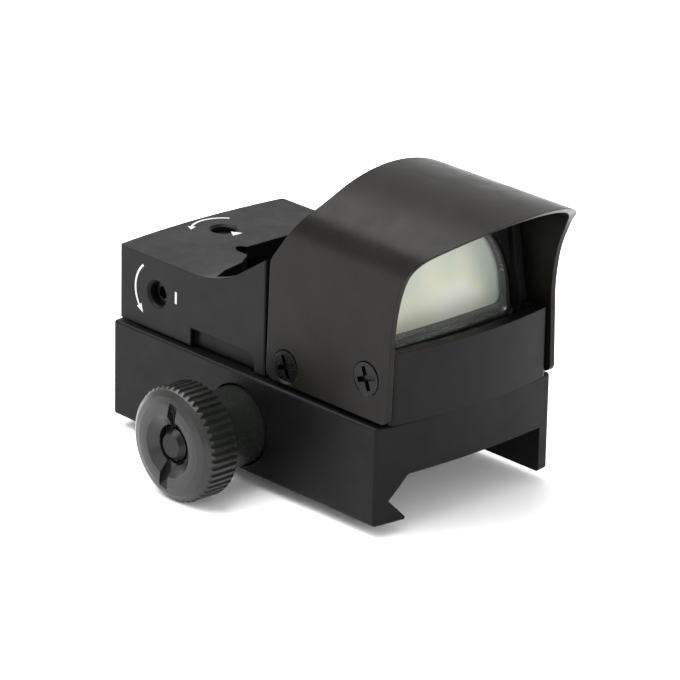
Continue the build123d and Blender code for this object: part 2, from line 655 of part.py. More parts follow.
def emitter_carriage():
    """Carries the emitter up and down in the slider's slot; its tee rides in the nut's foot."""
    x = (EMITTER_X - CARRIAGE_HALF, EMITTER_X + CARRIAGE_HALF)
    stem = block(x, (CARRIAGE_FRONT_Y, CARRIAGE_BACK_Y), (TEE_Z[0] + RUNNING, EMITTER_Z + EMITTER_R + 0.15))
    tee = block(x, (CARRIAGE_FRONT_Y, CARRIAGE_BACK_Y + 0.5), (TEE_Z[0] + RUNNING, TEE_Z[1] - RUNNING))
    return (stem + tee) - rod_y(EMITTER_R, 10, 20, EMITTER_X, EMITTER_Z)


def emitter_diode():
    """The red point emitter, domed towards the lens."""
    can = rod_y(EMITTER_R, CARRIAGE_FRONT_Y - 0.2, CARRIAGE_BACK_Y + 0.05, EMITTER_X, EMITTER_Z)
    dome = Pos(EMITTER_X, CARRIAGE_FRONT_Y - 0.2, EMITTER_Z) * Sphere(EMITTER_R - 0.1)
    return can + (dome & block((-FAR, FAR), (0, CARRIAGE_FRONT_Y - 0.1), (0, FAR)))


def elevation_nut():
    """Rides on the elevation screw; its foot lifts and lowers the carriage."""
    block_part = block((-3.2, 3.2), NUT_Y, NUT_Z)
    foot = block((-6.6, 3.2), (SLIDER_Y[0], NUT_Y[0] + 0.1), (NUT_Z[0], FOOT_TOP))
    nut = block_part + foot - rod_z(THREAD_R + RUNNING, 0, 20, 0, ELEV_Y)
    narrow = (SLIDER_Y[0] - 1, CARRIAGE_BACK_Y + RUNNING)
    wide = (SLIDER_Y[0] - 1, CARRIAGE_BACK_Y + 0.5 + RUNNING)
    nut -= block((-FAR, FAR), narrow, (TEE_Z[0], FOOT_TOP + 1))
    nut -= block((-FAR, FAR), wide, TEE_Z)
    return nut


def elevation_spring():
    """Takes up the play between elevation screw and nut."""
    return Pos(0, ELEV_Y, 0) * coil(1.42, 0.13, NUT_Z[1] + 0.05, ADJ_LOW_CEILING - PLATE - 0.05, 5)


def windage_spring():
    """Takes up the play between windage screw and slider."""
    low, high = -ADJ_HALF_WIDTH + PLATE + 0.05, SLIDER_X[0] - 0.05
    return Pos(0, WIND_Y, WIND_Z) * Rot(0, 90, 0) * coil(1.42, 0.13, low, high, 4)


def battery():
    """Coin cell, a stepped disc."""
    step = 0.6
    wide = rod_z(BATTERY_R, BATTERY_LOW, BATTERY_LOW + BATTERY_THICK - step, 0, BAY_Y)
    lid = rod_z(BATTERY_R - 1.2, BATTERY_LOW, BATTERY_LOW + BATTERY_THICK, 0, BAY_Y)
    return wide + lid


def circuit_board():
    """Round board over the cell, with a tail that reaches the adjuster bay."""
    z0, z1 = BOARD_LOW, BOARD_LOW + BOARD_THICK
    board = rod_z(BATTERY_R, z0, z1, 0, BAY_Y)
    return board + block((-TAB_HALF, TAB_HALF), (BAY_Y, TAB_END_Y), (z0, z1))


def board_chip():
    """The brightness controller on top of the board's tail."""
    top = BOARD_LOW + BOARD_THICK
    return block((-1.5, 1.5), (6.0, 9.0), (top, BAY_TOP))


def contact_centre():
    """Leaf that presses on the middle of the cell."""
    low = BATTERY_LOW + BATTERY_THICK
    return block((-1.2, 1.2), (BAY_Y - 4.5, BAY_Y + 4.5), (low, BOARD_LOW))


def contact_rim():
    """Curved leaf that presses on the cell's rim."""
    ring = Circle(BAY_R) - Circle(BATTERY_R + 0.02)
    wedge = Polyline((0, 0), (-4, -20), (4, -20), close=True)
    sector = ring & make_face(wedge)
    return along_z(Pos(0, BAY_Y) * sector, BATTERY_LOW + 0.2, BOARD_LOW)


def light_sensor():
    """Ambient light cell behind the port in the deck's lobe."""
    return block((-9.1, -6.9), (9.65, 10.7), (13.2, 14.6))


def sensor_window():
    """Clear plug in the sensor's port."""
    return rod_y(1.15, 8.9, 9.5, -8.0, 13.9)


def base_screws():
    """Cap screws that hold the body to the mount, driven from the rail side."""
    screws = []
    for x, y in BASE_SCREWS:
        screw = rod_z(BASE_HEAD_R, *BASE_HEAD_Z, x, y)
        screw += rod_z(BASE_SCREW_R, BASE_HEAD_Z[1], BASE_SCREW_TOP, x, y)
        socket = Pos(x, y, BASE_HEAD_Z[0]) * extrude(RegularPolygon(1.45, 6), 1.5)
        screws.append(screw - socket)
    return Compound(screws)


def locating_pins():
    """Dowels that square the body on the mount."""
    return Compound([rod_z(PIN_R, *PIN_Z, x, y) for x, y in PINS])


def hood_screws():
    """The countersunk cross-recess screws of the hood."""
    screws = []
    for y, z in SCREW_PLACES:
        for side in (-1, 1):
            screws.append(side_screw(y, z, side) - cross_recess(y, z, side))
    return Compound(screws)


PARTS = {
    "mount_base": mount_base,
    "clamp_jaw": clamp_jaw,
    "cross_bolt": cross_bolt,
    "clamp_spring": clamp_spring,
    "knob_washer": knob_washer,
    "clamp_knob": clamp_knob,
    "base_screws": base_screws,
    "locating_pins": locating_pins,
    "sight_body": sight_body,
    "body_gasket": lambda: gasket_ring(0.05),
    "hood": hood,
    "hood_screws": hood_screws,
    "lens": lens,
    "lens_seal": lens_seal,
    "battery": battery,
    "contact_centre": contact_centre,
    "contact_rim": contact_rim,
    "circuit_board": circuit_board,
    "board_chip": board_chip,
    "light_sensor": light_sensor,
    "sensor_window": sensor_window,
    "elevation_screw": elevation_screw,
    "elevation_retainer": elevation_retainer,
    "elevation_spring": elevation_spring,
    "elevation_nut": elevation_nut,
    "windage_screw": windage_screw,
    "windage_retainer": windage_retainer,
    "windage_spring": windage_spring,
    "windage_slider": windage_slider,
    "emitter_carriage": emitter_carriage,
    "emitter_diode": emitter_diode,
}

os.makedirs("parts", exist_ok=True)
for node, make in PARTS.items():
    save(make(), node)
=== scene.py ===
import json
import logging
import math
from dataclasses import dataclass
from enum import Enum
from typing import ClassVar

import bpy
from mathutils import Matrix, Vector


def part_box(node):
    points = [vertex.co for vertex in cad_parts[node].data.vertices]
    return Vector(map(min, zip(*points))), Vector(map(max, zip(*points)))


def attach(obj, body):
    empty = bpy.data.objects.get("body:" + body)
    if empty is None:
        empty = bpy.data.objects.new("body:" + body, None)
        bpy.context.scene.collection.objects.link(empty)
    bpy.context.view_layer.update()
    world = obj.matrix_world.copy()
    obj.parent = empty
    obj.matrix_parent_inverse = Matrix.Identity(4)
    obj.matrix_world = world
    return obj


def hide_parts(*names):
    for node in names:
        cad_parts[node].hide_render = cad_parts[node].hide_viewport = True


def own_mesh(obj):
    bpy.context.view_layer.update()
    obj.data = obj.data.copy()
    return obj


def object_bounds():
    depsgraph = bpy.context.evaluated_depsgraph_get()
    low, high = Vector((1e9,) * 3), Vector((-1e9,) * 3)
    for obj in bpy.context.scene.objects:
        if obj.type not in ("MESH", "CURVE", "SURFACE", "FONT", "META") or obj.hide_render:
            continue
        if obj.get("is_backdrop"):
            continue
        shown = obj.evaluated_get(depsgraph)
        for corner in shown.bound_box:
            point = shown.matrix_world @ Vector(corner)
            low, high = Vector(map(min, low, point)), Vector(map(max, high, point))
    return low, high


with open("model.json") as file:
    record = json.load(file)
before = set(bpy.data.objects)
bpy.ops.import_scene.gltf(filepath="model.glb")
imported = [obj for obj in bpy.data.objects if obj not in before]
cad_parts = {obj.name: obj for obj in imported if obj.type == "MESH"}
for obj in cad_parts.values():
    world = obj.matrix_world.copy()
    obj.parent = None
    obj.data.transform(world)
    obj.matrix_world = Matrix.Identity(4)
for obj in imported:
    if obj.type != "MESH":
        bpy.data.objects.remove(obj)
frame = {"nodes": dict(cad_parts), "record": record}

MM = 0.001
LOG = logging.getLogger("reflex_sight")

Point = tuple[float, float, float]
Flat = tuple[float, float]
Colour = tuple[float, float, float]
Stops = list[tuple[float, Colour]]
Socket = bpy.types.NodeSocket
Finish = bpy.types.Material

RIGHT: Point = (1.0, 0.0, 0.0)
BACK: Point = (0.0, 1.0, 0.0)
FRONT: Point = (0.0, -1.0, 0.0)
UP: Point = (0.0, 0.0, 1.0)
DOWN: Point = (0.0, 0.0, -1.0)


class Body(Enum):
    """The body that the added pieces ride on."""

    SIGHT = "sight"


class Drive(Enum):
    """The recess in a screw's head."""

    CROSS = "cross"
    HEX = "hex"


class Way(Enum):
    """The direction that a spring is wound along."""

    ACROSS = RIGHT
    UPWARD = UP


class Slot(Enum):
    """The material slots that pieces take their finish from."""

    MOUNT = "anodised_mount"
    BODY = "anodised_body"
    HOOD = "anodised_hood"
    KNOB = "knob_black"
    BLACK_STEEL = "black_steel"
    STEEL = "steel"
    SPRING = "spring_steel"
    BRASS = "brass"
    CELL = "cell_steel"
    BOARD = "board_green"
    PLASTIC = "black_plastic"
    RUBBER = "seal_rubber"
    LENS = "coated_glass"
    WINDOW = "window_glass"
    EMITTER = "red_emitter"


def scaled(colour: Colour, share: float) -> Colour:
    """A colour made darker or lighter."""
    return tuple(share * part for part in colour)


class Shader:
    """A material's node tree, with short ways to add and join nodes."""

    # the shares of a noise's range that hold most of its values
    TONES: ClassVar[Flat] = (0.35, 0.65)
    SPREAD: ClassVar[Flat] = (0.3, 0.7)

    def __init__(self, name: str) -> None:
        """Starts a material with a principled shader.

        Args:
            name: the material's name.
        """
        self.material = bpy.data.materials.new(name)
        self.material.use_nodes = True
        self.tree = self.material.node_tree
        self.surface = self.tree.nodes["Principled BSDF"]
        self.place = self.add("ShaderNodeTexCoord").outputs["Object"]

    def add(self, kind: str, **inputs: float | Colour) -> bpy.types.Node:
        """Adds a node.

        Args:
            kind: the node's type.
            **inputs: values for its inputs, by name with _ for a space.

        Returns:
            The new node.
        """
        node = self.tree.nodes.new(kind)
        for name, value in inputs.items():
            node.inputs[name.replace("_", " ")].default_value = value
        return node

    def join(self, source: Socket, target: Socket) -> None:
        """Joins an output to an input."""
        self.tree.links.new(source, target)

    def noise(self, scale: float, detail: float = 3.0) -> Socket:
        """Noise over the piece.

        Args:
            scale: features per metre.
            detail: octaves.

        Returns:
            The noise's value output.
        """
        node = self.add("ShaderNodeTexNoise", Scale=scale, Detail=detail)
        self.join(self.place, node.inputs["Vector"])
        return node.outputs["Fac"]

    def ramp(self, value: Socket, stops: Stops) -> Socket:
        """Colours a value.

        Args:
            value: the number that picks the colour.
            stops: positions and colours, lowest first.

        Returns:
            The colour output.
        """
        node = self.add("ShaderNodeValToRGB")
        elements = node.color_ramp.elements
        while len(elements) < len(stops):
            elements.new(0.5)
        for element, (position, colour) in zip(elements, stops):
            element.position = position
            element.color = (*colour, 1.0)
        self.join(value, node.inputs["Fac"])
        return node.outputs["Color"]

    def mottle(self, scale: float, detail: float, stops: Stops) -> None:
        """Colours the surface in soft patches.

        Args:
            scale: patches per metre.
            detail: octaves of their noise.
            stops: positions in the noise and their colours, lowest first.
        """
        colour = self.ramp(self.noise(scale, detail), stops)
        self.join(colour, self.surface.inputs["Base Color"])

    def two_tone(self, scale: float, detail: float, dark: Colour, light: Colour) -> None:
        """Colours the surface in patches between two tones.

        Args:
            scale: patches per metre.
            detail: octaves of their noise.
            dark: the darker tone.
            light: the lighter tone.
        """
        self.mottle(scale, detail, list(zip(self.TONES, (dark, light))))

    def vary_roughness(self, scale: float, detail: float, middle: float, swing: float) -> None:
        """Lets the roughness vary in patches.

        Args:
            scale: patches per metre.
            detail: octaves of their noise.
            middle: the mean roughness.
            swing: how far it goes to each side.
        """
        low, high = self.SPREAD
        node = self.add(
            "ShaderNodeMapRange", From_Min=low, From_Max=high, To_Min=middle - swing, To_Max=middle + swing
        )
        self.join(self.noise(scale, detail), node.inputs["Value"])
        self.join(node.outputs["Result"], self.surface.inputs["Roughness"])

    def relief(self, height: Socket, depth: float, edge: float = 0.0) -> None:
        """Gives the surface a fine relief, over softened edges.

        Args:
            height: the relief's height, 0 to 1.
            depth: its depth in metres.
            edge: the radius that sharp edges are softened to, in metres.
        """
        bump = self.add("ShaderNodeBump", Strength=1.0, Distance=depth)
        self.join(height, bump.inputs["Height"])
        if edge:
            soft = self.add("ShaderNodeBevel", Radius=edge)
            self.join(soft.outputs["Normal"], bump.inputs["Normal"])
        self.join(bump.outputs["Normal"], self.surface.inputs["Normal"])

    def set(self, **inputs: float | Colour) -> None:
        """Sets the shader's own inputs, by name with _ for a space."""
        for name, value in inputs.items():
            self.surface.inputs[name.replace("_", " ")].default_value = value


@dataclass(frozen=True)
class Anodised:
    """Black anodised aluminium over a blasted surface. Patches and grain are per metre."""

    name: str
    shade: Colour
    roughness: float
    specular: float
    edge: float = 0.00016
    patches: float = 160.0
    patch_detail: float = 5.0
    tones: Flat = (0.8, 1.25)
    sheen_patches: float = 420.0
    sheen_detail: float = 4.0
    sheen_swing: float = 0.05
    grain: float = 2600.0
    grain_detail: float = 2.0
    grain_depth: float = 0.000012

    def build(self) -> Finish:
        """Makes the material."""
        shader = Shader(self.name)
        dark, light = (scaled(self.shade, share) for share in self.tones)
        shader.two_tone(self.patches, self.patch_detail, dark, light)
        shader.vary_roughness(self.sheen_patches, self.sheen_detail, self.roughness, self.sheen_swing)
        shader.set(Specular_IOR_Level=self.specular)
        shader.relief(shader.noise(self.grain, self.grain_detail), self.grain_depth, self.edge)
        return shader.material


@dataclass(frozen=True)
class Metal:
    """Bare, plated or blackened metal. Patches and grain are per metre."""

    name: str
    shade: Colour
    roughness: float
    edge: float = 0.00006
    metallic: float = 0.95
    patches: float = 500.0
    patch_detail: float = 4.0
    dark_share: float = 0.8
    sheen_patches: float = 900.0
    sheen_detail: float = 3.0
    sheen_swing: float = 0.06
    grain: float = 3500.0
    grain_depth: float = 0.000004

    def build(self) -> Finish:
        """Makes the material."""
        shader = Shader(self.name)
        shader.two_tone(self.patches, self.patch_detail, scaled(self.shade, self.dark_share), self.shade)
        shader.vary_roughness(self.sheen_patches, self.sheen_detail, self.roughness, self.sheen_swing)
        shader.set(Metallic=self.metallic)
        shader.relief(shader.noise(self.grain), self.grain_depth, self.edge)
        return shader.material


@dataclass(frozen=True)
class Moulded:
    """Plastic, rubber, epoxy, board or paint. Patches and grain are per metre."""

    name: str
    shade: Colour
    roughness: float
    patches: float = 700.0
    patch_detail: float = 4.0
    dark_share: float = 0.88
    grain: float = 3000.0
    grain_depth: float = 0.000004

    def build(self) -> Finish:
        """Makes the material."""
        shader = Shader(self.name)
        shader.two_tone(self.patches, self.patch_detail, scaled(self.shade, self.dark_share), self.shade)
        shader.set(Roughness=self.roughness)
        shader.relief(shader.noise(self.grain), self.grain_depth)
        return shader.material


@dataclass(frozen=True)
class Glass:
    """Optical glass with a faint, slowly changing tint."""

    name: str
    tint: Colour
    transmission: float
    roughness: float = 0.06
    index: float = 1.52
    patches: float = 90.0
    patch_detail: float = 3.0
    dark_share: float = 0.8

    def build(self) -> Finish:
        """Makes the material."""
        shader = Shader(self.name)
        shader.two_tone(self.patches, self.patch_detail, scaled(self.tint, self.dark_share), self.tint)
        shader.set(Roughness=self.roughness, IOR=self.index, Transmission_Weight=self.transmission)
        return shader.material


@dataclass(frozen=True)
class MirrorCoat:
    """The lens's reflective coating: a grey-green tint, made pale and patched warm by a painted reflection
    of the bright surroundings.
    """

    name: str
    roughness: float = 0.38
    metallic: float = 0.2
    patches: float = 95.0
    patch_detail: float = 2.0
    # pale tones with warm patches: a painted reflection of the white surroundings over the coating's
    # grey-green tint
    coat_tint_and_painted_reflection: tuple[tuple[float, Colour], ...] = (
        (0.36, (0.33, 0.37, 0.33)),
        (0.46, (0.38, 0.41, 0.33)),
        (0.54, (0.44, 0.445, 0.35)),
        (0.64, (0.49, 0.50, 0.44)),
    )

    def build(self) -> Finish:
        """Makes the material."""
        shader = Shader(self.name)
        shader.mottle(self.patches, self.patch_detail, list(self.coat_tint_and_painted_reflection))
        shader.set(Metallic=self.metallic, Roughness=self.roughness)
        return shader.material


class Finishes:
    """Every finish of the object, by record slot."""

    SPECS: ClassVar[dict[Slot, Anodised | Metal | Moulded | Glass]] = {
        Slot.MOUNT: Anodised("mount_anodised", (0.0034, 0.0034, 0.0035), 0.42, 0.10),
        Slot.BODY: Anodised("body_anodised", (0.0038, 0.0037, 0.0036), 0.40, 0.11),
        Slot.HOOD: Anodised("hood_anodised", (0.0056, 0.0050, 0.0040), 0.33, 0.11),
        Slot.KNOB: Anodised("knob_anodised", (0.0072, 0.0082, 0.0070), 0.27, 0.33, edge=0.00012),
        Slot.BLACK_STEEL: Metal("blackened_steel", (0.018, 0.018, 0.019), 0.28),
        Slot.STEEL: Metal("plain_steel", (0.42, 0.42, 0.43), 0.34),
        Slot.SPRING: Metal("spring_wire", (0.48, 0.47, 0.45), 0.28),
        Slot.BRASS: Metal("machined_brass", (0.66, 0.47, 0.2), 0.3),
        Slot.CELL: Metal("cell_can", (0.6, 0.6, 0.6), 0.25),
        Slot.BOARD: Moulded("solder_mask", (0.015, 0.12, 0.05), 0.35),
        Slot.PLASTIC: Moulded("black_moulding", (0.02, 0.02, 0.02), 0.5),
        Slot.RUBBER: Moulded("seal_bead", (0.012, 0.012, 0.012), 0.6),
        Slot.LENS: Glass("lens_glass", (0.80, 0.86, 0.80), 0.9),
        Slot.WINDOW: Glass("window_glass", (0.05, 0.05, 0.05), 0.5),
        Slot.EMITTER: Moulded("emitter_dome", (0.55, 0.02, 0.01), 0.15),
    }

    def __init__(self) -> None:
        """Makes all the materials."""
        self.made = {slot: spec.build() for slot, spec in self.SPECS.items()}
        # the lens coating's pale, patchy colour is a painted reflection of the bright surroundings
        self.coat = MirrorCoat("lens_coating").build()
        self.paint = Moulded("white_paint", (0.50, 0.50, 0.48), 0.5).build()

    def dress_nodes(self) -> int:
        """Gives each CAD node the finish of its record slot.

        Returns:
            How many nodes were dressed.
        """
        parts = frame["record"]["subparts"]
        for part in parts:
            node = frame["nodes"][part["node"]]
            node.data.materials.clear()
            node.data.materials.append(self.made[Slot(part["material_slot"])])
        return len(parts)


def solid(
    name: str, points: list[Point] | list[Vector], faces: list[tuple[int, ...]], finish: Finish
) -> bpy.types.Object:
    """Makes a mesh piece.

    Args:
        name: the piece's name.
        points: its corners in metres.
        faces: corner numbers of each face, anticlockwise from outside.
        finish: its material.

    Returns:
        The new object.
    """
    mesh = bpy.data.meshes.new(name)
    mesh.from_pydata([tuple(p) for p in points], [], faces)
    mesh.materials.append(finish)
    mesh.validate()
    piece = bpy.data.objects.new(name, mesh)
    bpy.context.collection.objects.link(piece)
    return piece


class NodeGraph:
    """A Geometry Nodes group under construction."""

    def __init__(self, name: str) -> None:
        """Starts a group with a geometry input and output.

        Args:
            name: the group's name.
        """
        self.group = bpy.data.node_groups.new(name, "GeometryNodeTree")
        self.identifiers: dict[str, str] = {}
        self.take("Geometry", "NodeSocketGeometry")
        self.group.interface.new_socket(name="Geometry", in_out="OUTPUT", socket_type="NodeSocketGeometry")
        self.entry = self.group.nodes.new("NodeGroupInput")
        self.exit = self.group.nodes.new("NodeGroupOutput")

    def take(self, name: str, kind: str) -> None:
        """Adds a named input of a socket type."""
        socket = self.group.interface.new_socket(name=name, in_out="INPUT", socket_type=kind)
        self.identifiers[name] = socket.identifier

    def add(self, kind: str, links: dict[str | int, Socket], **settings: object) -> bpy.types.Node:
        """Adds a node.

        Args:
            kind: the node's type.
            links: outputs to join to its inputs, by input name or number.
            **settings: the node's own properties.

        Returns:
            The new node.
        """
        node = self.group.nodes.new(kind)
        for name, value in settings.items():
            setattr(node, name, value)
        for name, source in links.items():
            self.group.links.new(source, node.inputs[name])
        return node

    def value(self, name: str) -> Socket:
        """The group input of that name."""
        return self.entry.outputs[name]

    def times(self, value: Socket, factor: float) -> Socket:
        """A number times a factor."""
        node = self.add("ShaderNodeMath", {0: value}, operation="MULTIPLY")
        node.inputs[1].default_value = factor
        return node.outputs[0]

    def raised(self, shape: Socket, height: Socket) -> Socket:
        """A shape moved along Z.

        Args:
            shape: the geometry.
            height: how far it moves.

        Returns:
            The moved geometry.
        """
        offset = self.add("ShaderNodeCombineXYZ", {"Z": height})
        moved = self.add("GeometryNodeTransform", {"Geometry": shape, "Translation": offset.outputs[0]})
        return moved.outputs["Geometry"]

    def close(self, shape: Socket) -> None:
        """Ends the group with realised instances and the finish.

        Args:
            shape: the geometry to finish.
        """
        real = self.add("GeometryNodeRealizeInstances", {"Geometry": shape})
        dressed = self.add(
            "GeometryNodeSetMaterial",
            {"Geometry": real.outputs["Geometry"], "Material": self.value("Finish")},
        )
        self.group.links.new(dressed.outputs["Geometry"], self.exit.inputs["Geometry"])

    def make(self, name: str, base: bpy.types.Mesh, values: dict[str, object]) -> bpy.types.Object:
        """Runs the group and keeps its result as a plain mesh.

        Args:
            name: the piece's name.
            base: the mesh that the group starts from.
            values: the group's inputs by name.

        Returns:
            The finished piece.
        """
        worker = bpy.data.objects.new(name + "_worker", base)
        bpy.context.collection.objects.link(worker)
        modifier = worker.modifiers.new(name, "NODES")
        modifier.node_group = self.group
        for label, value in values.items():
            modifier[self.identifiers[label]] = value
        graph = bpy.context.evaluated_depsgraph_get()
        graph.update()
        mesh = bpy.data.meshes.new_from_object(worker.evaluated_get(graph), depsgraph=graph)
        worker.modifiers.remove(modifier)
        bpy.data.objects.remove(worker)
        mesh.name = name
        piece = bpy.data.objects.new(name, mesh)
        bpy.context.collection.objects.link(piece)
        return piece


def settle(piece: bpy.types.Object, replaced: str = "") -> bpy.types.Object:
    """Makes a piece ride on the sight.

    Args:
        piece: the finished piece.
        replaced: the CAD node that it stands for, if any.

    Returns:
        The same piece.
    """
    if replaced:
        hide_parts(replaced)
    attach(piece, Body.SIGHT.value)
    return piece


@dataclass
class Fasteners:
    """Screws repeated over points, each facing the way its point says. Sizes are in mm."""

    name: str
    replaced: str
    drive: Drive
    places: list[tuple[Point, Point]]
    head_radius: float
    head_height: float
    shank_radius: float
    shank_length: float
    recess: float
    recess_depth: float
    spin: float = 0.0

    HEAD_SIDES: ClassVar[int] = 64
    SHANK_SIDES: ClassVar[int] = 32
    HEXAGON: ClassVar[int] = 6
    ARM_SHARE: ClassVar[float] = 0.22

    def sizes(self) -> dict[str, float]:
        """The node group's number inputs."""
        return {
            "Head Radius": self.head_radius,
            "Head Height": self.head_height,
            "Shank Radius": self.shank_radius,
            "Shank Length": self.shank_length,
            "Recess": self.recess,
            "Recess Depth": self.recess_depth,
            "Spin": self.spin,
        }

    def group(self) -> NodeGraph:
        """Builds the node group: one screw, cut and instanced.

        Returns:
            The group.
        """
        tree = NodeGraph(self.name + "_nodes")
        for label in self.sizes():
            tree.take(label, "NodeSocketFloat")
        tree.take("Finish", "NodeSocketMaterial")
        sunk = tree.times(tree.value("Head Height"), -1.0)
        head = self.head(tree, sunk)
        shank = self.shank(tree, sunk)
        drilled = tree.add("GeometryNodeMeshBoolean", {}, operation="DIFFERENCE", solver="EXACT")
        tree.group.links.new(head, drilled.inputs["Mesh 1"])
        tree.group.links.new(self.recess_tool(tree), drilled.inputs["Mesh 2"])
        whole = tree.add("GeometryNodeJoinGeometry", {})
        for part in (shank, drilled.outputs["Mesh"]):
            tree.group.links.new(part, whole.inputs[0])
        small = tree.add("GeometryNodeTransform", {"Geometry": whole.outputs[0]})
        small.inputs["Scale"].default_value = (MM, MM, MM)
        tree.close(self.instances(tree, small.outputs["Geometry"]))
        return tree

    def head(self, tree: NodeGraph, sunk: Socket) -> Socket:
        """Adds the head: countersunk, or straight for a cap screw.

        Args:
            tree: the group to add it to.
            sunk: the height of its underside's end.

        Returns:
            The head's geometry.
        """
        under = "Shank Radius" if self.drive is Drive.CROSS else "Head Radius"
        cone = tree.add(
            "GeometryNodeMeshCone",
            {
                "Radius Top": tree.value("Head Radius"),
                "Radius Bottom": tree.value(under),
                "Depth": tree.value("Head Height"),
            },
        )
        cone.inputs["Vertices"].default_value = self.HEAD_SIDES
        return tree.raised(cone.outputs["Mesh"], sunk)

    def shank(self, tree: NodeGraph, sunk: Socket) -> Socket:
        """Adds the shank under the head.

        Args:
            tree: the group to add it to.
            sunk: the height that it starts from.

        Returns:
            The shank's geometry.
        """
        rod = tree.add(
            "GeometryNodeMeshCylinder",
            {"Radius": tree.value("Shank Radius"), "Depth": tree.value("Shank Length")},
        )
        rod.inputs["Vertices"].default_value = self.SHANK_SIDES
        half = tree.times(tree.value("Shank Length"), -0.5)
        middle = tree.add("ShaderNodeMath", {0: half, 1: sunk}, operation="ADD")
        return tree.raised(rod.outputs["Mesh"], middle.outputs[0])

    def recess_tool(self, tree: NodeGraph) -> Socket:
        """Adds the tool that cuts the drive recess.

        Args:
            tree: the group to add it to.

        Returns:
            The tool's geometry: a hexagon, or two crossed bars.
        """
        deep = tree.times(tree.value("Recess Depth"), 2.0)
        if self.drive is Drive.HEX:
            hexagon = tree.add("GeometryNodeMeshCylinder", {"Radius": tree.value("Recess"), "Depth": deep})
            hexagon.inputs["Vertices"].default_value = self.HEXAGON
            return hexagon.outputs["Mesh"]
        long, narrow = tree.value("Recess"), tree.times(tree.value("Recess"), self.ARM_SHARE)
        cross = tree.add("GeometryNodeMeshBoolean", {}, operation="UNION", solver="EXACT")
        for x, y in ((long, narrow), (narrow, long)):
            size = tree.add("ShaderNodeCombineXYZ", {"X": x, "Y": y, "Z": deep})
            bar = tree.add("GeometryNodeMeshCube", {"Size": size.outputs[0]})
            tree.group.links.new(bar.outputs["Mesh"], cross.inputs["Mesh 2"])
        return cross.outputs["Mesh"]

    def instances(self, tree: NodeGraph, screw: Socket) -> Socket:
        """Adds a screw on each point, turned to the point's facing.

        Args:
            tree: the group to add them to.
            screw: the screw's geometry.

        Returns:
            The instances.
        """
        facing = tree.add("GeometryNodeInputNamedAttribute", {}, data_type="FLOAT_VECTOR")
        facing.inputs["Name"].default_value = "facing"
        turn = tree.add("FunctionNodeAlignRotationToVector", {"Vector": facing.outputs[0]}, axis="Z")
        spin = tree.add("ShaderNodeCombineXYZ", {"Z": tree.value("Spin")})
        own = tree.add(
            "FunctionNodeRotateRotation",
            {"Rotation": turn.outputs[0], "Rotate By": spin.outputs[0]},
            rotation_space="LOCAL",
        )
        spread = tree.add(
            "GeometryNodeInstanceOnPoints",
            {"Points": tree.value("Geometry"), "Instance": screw, "Rotation": own.outputs[0]},
        )
        return spread.outputs["Instances"]

    def build(self, finish: Finish) -> bpy.types.Object:
        """Makes the screws.

        Args:
            finish: their material.

        Returns:
            The finished piece.
        """
        base = bpy.data.meshes.new(self.name + "_points")
        base.from_pydata([tuple(MM * c for c in place) for place, _ in self.places], [], [])
        facing = base.attributes.new("facing", "FLOAT_VECTOR", "POINT")
        for i, (_, way) in enumerate(self.places):
            facing.data[i].vector = way
        piece = self.group().make(self.name, base, {**self.sizes(), "Finish": finish})
        return settle(piece, self.replaced)


@dataclass
class CoilSpring:
    """A coil spring wound by Geometry Nodes. Sizes are in mm."""

    name: str
    replaced: str
    start: Point
    way: Way
    length: float
    radius: float
    wire: float
    turns: float
    joint: str = ""
    fixed: Point = (0.0, 0.0, 0.0)
    keep: float = 1.0

    STEPS_PER_TURN: ClassVar[int] = 40
    WIRE_SIDES: ClassVar[int] = 12

    def sizes(self) -> dict[str, float]:
        """The node group's number inputs, lengths in metres."""
        return {
            "Turns": self.turns,
            "Radius": self.radius * MM,
            "Length": self.length * MM,
            "Wire": self.wire * MM,
        }

    def group(self) -> NodeGraph:
        """Builds the node group: a spiral swept by its wire.

        Returns:
            The group.
        """
        tree = NodeGraph(self.name + "_nodes")
        for label in self.sizes():
            tree.take(label, "NodeSocketFloat")
        tree.take("Finish", "NodeSocketMaterial")
        coil = tree.add(
            "GeometryNodeCurveSpiral",
            {
                "Rotations": tree.value("Turns"),
                "Start Radius": tree.value("Radius"),
                "End Radius": tree.value("Radius"),
                "Height": tree.value("Length"),
            },
        )
        coil.inputs["Resolution"].default_value = self.STEPS_PER_TURN
        section = tree.add("GeometryNodeCurvePrimitiveCircle", {"Radius": tree.value("Wire")})
        section.inputs["Resolution"].default_value = self.WIRE_SIDES
        wire = tree.add(
            "GeometryNodeCurveToMesh",
            {"Curve": coil.outputs["Curve"], "Profile Curve": section.outputs["Curve"]},
        )
        wire.inputs["Fill Caps"].default_value = True
        place = tree.add("GeometryNodeTransform", {"Geometry": wire.outputs["Mesh"]})
        place.inputs["Translation"].default_value = tuple(MM * c for c in self.start)
        if self.way is Way.ACROSS:
            place.inputs["Rotation"].default_value = (0.0, math.pi / 2, 0.0)
        tree.close(place.outputs["Geometry"])
        return tree

    def build(self, finish: Finish) -> bpy.types.Object:
        """Makes the spring, and gives it its own copy of its mesh when it has a joint.

        Args:
            finish: its material.

        Returns:
            The finished piece.
        """
        seed = bpy.data.meshes.new(self.name + "_seed")
        piece = self.group().make(self.name, seed, {**self.sizes(), "Finish": finish})
        settle(piece, self.replaced)
        if self.joint:
            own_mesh(piece)
        return piece


